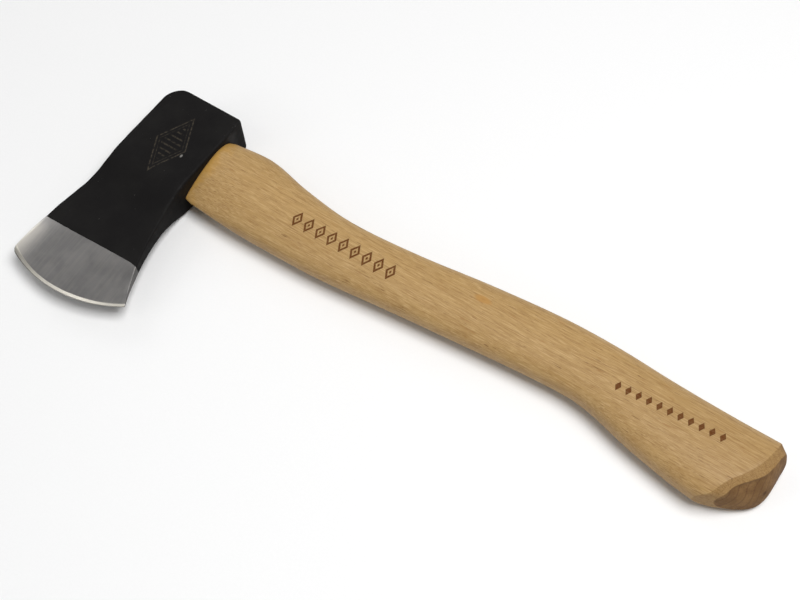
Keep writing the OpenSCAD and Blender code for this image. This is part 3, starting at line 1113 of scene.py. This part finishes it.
def black_lacquer():
    """Black stoving lacquer over the forging, with a stamp, dust and a few bare spots."""
    s = surface("black_lacquer")
    p = s.place()
    x, y, z = s.split(p)
    haze = s.noise(p, 0.045, 3)
    dust = s.ramp(s.noise(p, 0.9, 5, 0.7), 0.58, 0.78, 0, 0.5)
    stamp = cheek_stamp(s, p, x, y, z)
    bare = bare_spots(s, p)
    colour = s.layers(
        (0.005, 0.0044, 0.0045),
        (s.ramp(haze, 0.35, 0.7), (0.0085, 0.0078, 0.0074)),
        (dust, (0.017, 0.015, 0.0135)),
        (s.times(stamp, 0.75), (0.07, 0.058, 0.042)),
        (bare, (0.3, 0.29, 0.27)))

    peel = s.noise(p, 1.6, 3, 0.6)
    scale_marks = s.noise(p, 0.28, 4, 0.6, distortion=0.3)
    rough = s.plus(s.ramp(scale_marks, 0.3, 0.7, 0.48, 0.6), s.times(s.attribute("side"), 0.2))
    height = s.plus(s.times(peel, 0.25), s.times(scale_marks, 0.9))
    normal = s.bump(s.minus(height, s.times(stamp, 0.6)), 0.45, 0.0002)
    return s.finish(Base_Color=colour, Roughness=rough, Metallic=s.times(bare, 0.9),
                    Normal=normal, Specular_IOR_Level=0.12)


def ground_steel():
    """The bare ground bit: fine grinding lines, a painted highlight on the honed bevel, a painted
    reflection towards the toe and a thin line of painted shade along the very edge.
    """
    s = surface("ground_steel")
    p = s.place()
    grind = s.attribute("grind")
    lines = s.noise(p, (3.2, 0.1, 1), 4, 0.7)
    coarse = s.noise(p, (0.9, 0.04, 0.4), 3)
    cloud = s.noise(p, 0.1, 3)
    # Painted reflection: the bit's colour is lightened and warmed towards the toe side
    toe = s.times(s.attribute("toe"), s.ramp(grind, 0.02, 0.2))
    side = s.ramp(s.attribute("side"), 0.2, 0.7)
    colour = s.layers(
        (0.415, 0.402, 0.395),
        (s.ramp(cloud, 0.35, 0.65), (0.35, 0.341, 0.338)),
        (s.ramp(coarse, 0.4, 0.7, 0, 0.35), (0.52, 0.5, 0.46)),
        (s.times(toe, 0.7), (0.78, 0.74, 0.67)),
        # Painted highlight: the honed bevel's colour is lightened to near white
        (s.ramp(grind, 0.5, 0.62), (0.86, 0.82, 0.73)),
        # Painted shade: a thin dark line along the very edge, from the last ring's raised grind value
        (s.ramp(grind, 1.04, 1.2, 0, 0.75), (0.14, 0.13, 0.12)),
        (s.times(side, 0.9), (0.075, 0.073, 0.071)))
    rough = s.plus(s.ramp(lines, 0.3, 0.7, 0.29, 0.38), s.times(side, 0.15))
    return s.finish(Base_Color=colour, Roughness=rough, Metallic=1,
                    Normal=s.bump(lines, 0.22, 0.0001))


def wedge_steel():
    """Mild steel of the cross wedges, hammered and starting to tarnish."""
    s = surface("wedge_steel_hammered")
    p = s.place()
    marks = s.noise(p, 1.4, 5, 0.7)
    rust = s.ramp(s.noise(p, 0.5, 5, 0.7), 0.55, 0.68, 0, 0.8)
    colour = s.layers((0.42, 0.41, 0.4), (s.ramp(marks, 0.3, 0.7), (0.28, 0.27, 0.26)),
                      (rust, (0.16, 0.065, 0.025)))
    rough = s.plus(s.ramp(marks, 0.3, 0.7, 0.3, 0.48), s.times(rust, 0.3))
    return s.finish(Base_Color=colour, Roughness=rough, Normal=s.bump(marks, 0.5, 0.0002),
                    Metallic=s.minus(1, s.times(rust, 0.8)))


def floor_paper():
    """A matt, pale paper floor, which glows where the light from above falls away."""
    s = surface("pale_floor")
    p = s.node("ShaderNodeTexCoord").outputs["Object"]
    tooth = s.noise(p, 900)
    colour = s.mix(s.ramp(tooth, 0.3, 0.7), (0.88, 0.88, 0.88), (0.87, 0.87, 0.87))
    far = s.distance(p, (0, 0, 0))
    return s.finish(Base_Color=colour, Roughness=0.85, Specular_IOR_Level=0.1,
                    Emission_Color=(1, 1, 1), Emission_Strength=s.ramp(far, 0.45, 1.9, 0, 0.85))


# ---------------- the object
head = build_head(black_lacquer(), ground_steel())
handle = build_handle(hickory())
wedge = build_wooden_wedge(wedge_ash())
cross_material = wedge_steel()
crosses = [build_cross_wedge(name + "_hammered", y, cross_material, seed)
           for seed, (name, y) in enumerate(CROSS_AT.items())]
for scratch in [o for o in bpy.data.objects if "_cutter" in o.name]:
    bpy.data.objects.remove(scratch)

PIECES = [(head, "axe_head", "head_lacquer"), (handle, "handle", "hickory"),
          (wedge, "wooden_wedge", "wedge_wood")]
PIECES += [(piece, name, "wedge_steel") for piece, name in zip(crosses, CROSS_AT)]
for piece, node, slot in PIECES:
    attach(piece, "root")
    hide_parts(node)


# ---------------- floor, light and camera
def add_floor():
    """A plain pale floor just under the hatchet."""
    mesh = bpy.data.meshes.new("floor")
    reach, drop = 2.5, -0.0002
    mesh.from_pydata([(-reach, -reach, drop), (reach, -reach, drop), (reach, reach, drop),
                      (-reach, reach, drop)], [], [(0, 1, 2, 3)])
    mesh.materials.append(floor_paper())
    add_object("floor", mesh)


def add_world():
    """A dim studio, darker overhead, in front of a white backdrop that only the camera sees."""
    world = bpy.data.worlds.new("studio")
    s = Nodes(world)
    white = (1.0, 1.0, 1.0)
    up = s.split(s.node("ShaderNodeTexCoord").outputs["Generated"])[2]
    strength = s.node("ShaderNodeMapRange", {
        "Value": up, "From Min": 0.05, "From Max": 0.75, "To Min": 0.27, "To Max": 0.20}).outputs[0]
    studio = s.fill(s.tree.nodes["Background"], {"Color": white, "Strength": strength})
    backdrop = s.node("ShaderNodeBackground", {"Color": white, "Strength": 0.95})
    seen = s.node("ShaderNodeLightPath").outputs["Is Camera Ray"]
    choice = s.node("ShaderNodeMixShader", {0: seen, 1: studio.outputs[0], 2: backdrop.outputs[0]})
    s.fill(s.tree.nodes["World Output"], {"Surface": choice.outputs[0]})
    bpy.context.scene.world = world


def add_light(name, place, aim, size, power):
    """A rectangular white soft light at place, turned to face aim, with its power in watts."""
    data = bpy.data.lights.new(name, "AREA")
    data.shape = "RECTANGLE"
    data.size, data.size_y = size
    data.energy = power
    lamp = add_object(name, data)
    lamp.location = place
    lamp.rotation_mode = "QUATERNION"
    lamp.rotation_quaternion = (Vector(aim) - Vector(place)).to_track_quat("-Z", "Y")


CAMERA_AZIMUTH, CAMERA_ELEVATION, CAMERA_ROLL = 39.28, 59.16, 5.25
CAMERA_AIM, CAMERA_DISTANCE, CAMERA_LENS = (136.5, -10.9, 0.0), 734.3, 63


def add_camera():
    """The photograph's viewing angle: azimuth, elevation and a slight roll, in degrees."""
    azimuth, elevation, roll = map(math.radians, (CAMERA_AZIMUTH, CAMERA_ELEVATION, CAMERA_ROLL))
    back = Vector((math.sin(azimuth) * math.cos(elevation),
                   -math.cos(azimuth) * math.cos(elevation), math.sin(elevation)))
    right = Vector((math.cos(azimuth), math.sin(azimuth), 0))
    up = back.cross(right)
    turned_right = math.cos(roll) * right - math.sin(roll) * up
    turned_up = math.sin(roll) * right + math.cos(roll) * up
    data = bpy.data.cameras.new("camera")
    data.lens = CAMERA_LENS
    data.clip_start, data.clip_end = 0.01, 20
    camera = add_object("camera", data)
    axes = Matrix((turned_right, turned_up, back)).transposed()
    place = EYE + Vector(CAMERA_AIM) * MM + back * (CAMERA_DISTANCE * MM)
    camera.matrix_world = Matrix.Translation(place) @ axes.to_4x4()
    bpy.context.scene.camera = camera


add_floor()
add_world()
add_light("key_overhead", (0.42, 0.12, 1.34), (0, 0, 0), (0.8, 0.8), 19)
add_light("front_left", (-0.75, -0.85, 0.62), (-0.15, -0.05, 0), (0.36, 0.36), 0.9)
add_light("edge_glint", (-0.55, -0.62, 1.13), (-0.16, -0.07, 0), (0.3, 0.3), 0.75)
add_light("left", (-1.05, 0.35, 0.62), (-0.15, -0.05, 0), (0.6, 0.5), 1.6)
add_camera()
bpy.context.scene.view_settings.view_transform = "Standard"
